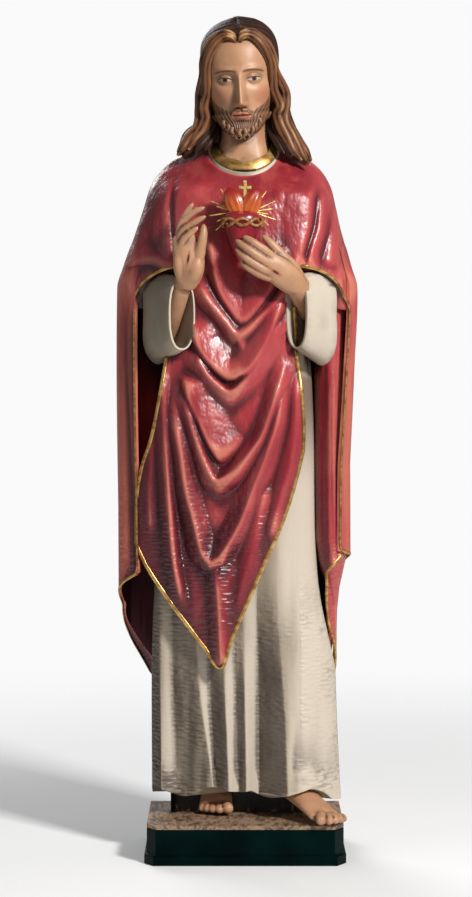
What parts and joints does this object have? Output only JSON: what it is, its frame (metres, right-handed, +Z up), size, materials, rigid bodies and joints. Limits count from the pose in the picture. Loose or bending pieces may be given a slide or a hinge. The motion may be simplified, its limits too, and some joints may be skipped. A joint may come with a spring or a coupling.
{
  "type": "sacred heart statue",
  "caption": "Standing robed church figure in carved, painted wood, one hand raised and one holding a flaming heart with cross, thorns and gilt rays, on a dark plinth",
  "frame": {"origin": "centre of the plinth's underside, on the floor", "axes": "+Z up, the figure faces -Y, +X to the right of someone facing it"},
  "size_m": [0.3461, 0.2439, 1.2025],
  "materials": {
    "painted_wood": "carved limewood under oil paint: crimson mantle with gilt hems, cream tunic, flesh tones, brown hair and ground, semi-gloss",
    "black_paint": "wood under glossy greenish black paint",
    "red_paint": "carved wood painted dark red with orange flames and ochre thorns, semi-gloss",
    "gilt": "thin gilded metal, lightly aged"
  },
  "bodies": {
    "root": {"plinth": "black_paint", "figure": "painted_wood", "heart": "red_paint", "cross": "gilt", "ray_left_1": "gilt", "ray_left_2": "gilt", "ray_left_3": "gilt", "ray_left_4": "gilt", "ray_left_5": "gilt", "ray_left_6": "gilt", "ray_left_7": "gilt", "ray_right_1": "gilt", "ray_right_2": "gilt", "ray_right_3": "gilt", "ray_right_4": "gilt", "ray_right_5": "gilt", "ray_right_6": "gilt"}
  },
  "joints": []
}
